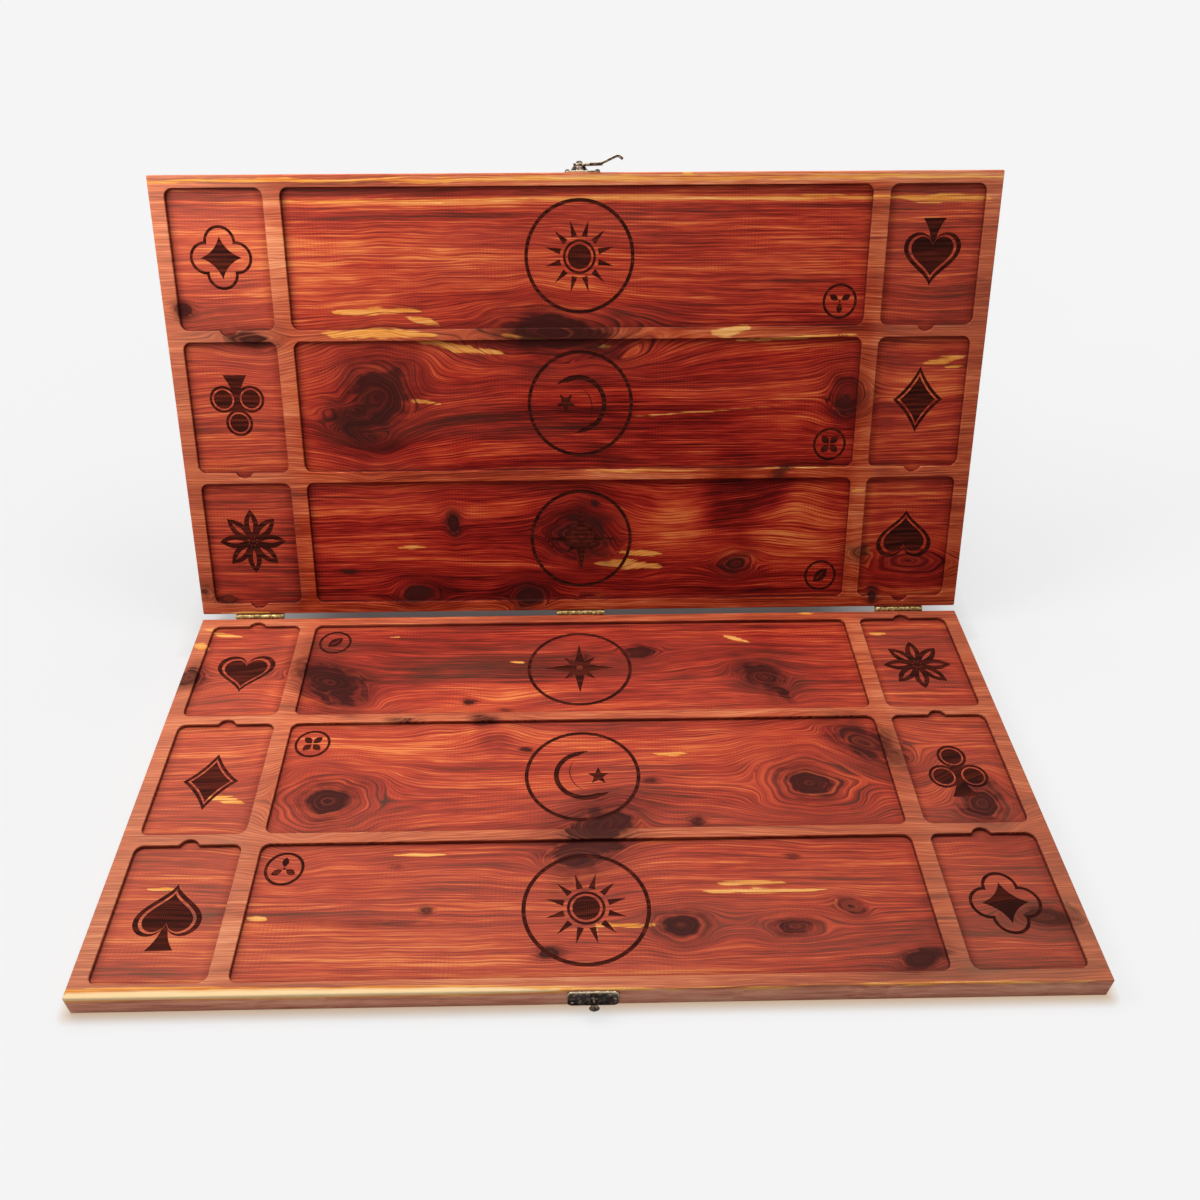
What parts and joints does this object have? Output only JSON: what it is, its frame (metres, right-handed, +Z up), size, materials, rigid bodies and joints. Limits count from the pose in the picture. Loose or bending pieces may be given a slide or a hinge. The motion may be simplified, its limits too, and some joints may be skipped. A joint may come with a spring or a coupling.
{
  "type": "card game board",
  "caption": "Folding cedar card game board with hinged panels, milled card pockets and lanes, and a swing hook latch that holds it shut.",
  "frame": {"origin": "middle of the lower panel's underside", "axes": "+X along the hinges, to the right as seen from the free edge; +Y from the free edge to the hinges; +Z up out of the table"},
  "size_m": [0.6096, 0.4733, 0.3376],
  "materials": {
    "cedar": "oiled red cedar, satin",
    "antique_brass": "antique brass plate",
    "dark_bronze": "dark bronzed plate"
  },
  "bodies": {
    "lower_panel": {"lower_board_hinge_side": "cedar", "lower_board_middle": "cedar", "lower_board_free_side": "cedar", "hinge_left_lower_leaf": "antique_brass", "hinge_middle_lower_leaf": "antique_brass", "hinge_right_lower_leaf": "antique_brass", "hinge_left_pin": "antique_brass", "hinge_middle_pin": "antique_brass", "hinge_right_pin": "antique_brass", "hinge_screws_lower": "antique_brass", "catch_plate": "dark_bronze", "catch_post": "dark_bronze", "catch_screws": "dark_bronze"},
    "upper_panel": {"upper_board_hinge_side": "cedar", "upper_board_middle": "cedar", "upper_board_free_side": "cedar", "hinge_left_upper_leaf": "antique_brass", "hinge_middle_upper_leaf": "antique_brass", "hinge_right_upper_leaf": "antique_brass", "hinge_screws_upper": "antique_brass", "latch_plate": "dark_bronze", "latch_rivet": "dark_bronze", "latch_screws": "dark_bronze"},
    "hook": {"latch_hook": "dark_bronze"}
  },
  "joints": [
    {"name": "fold", "type": "hinge", "parent": "lower_panel", "child": "upper_panel", "pos_m": [0, 0.16737, 0.01615], "axis": [1, 0, 0], "range_deg": [-69.2, 110.8]},
    {"name": "hook_swing", "type": "hinge", "parent": "upper_panel", "child": "hook", "pos_m": [0.0012, 0.29305, 0.32406], "axis": [0, -0.3551, -0.9348], "range_deg": [-90, 45]}
  ]
}
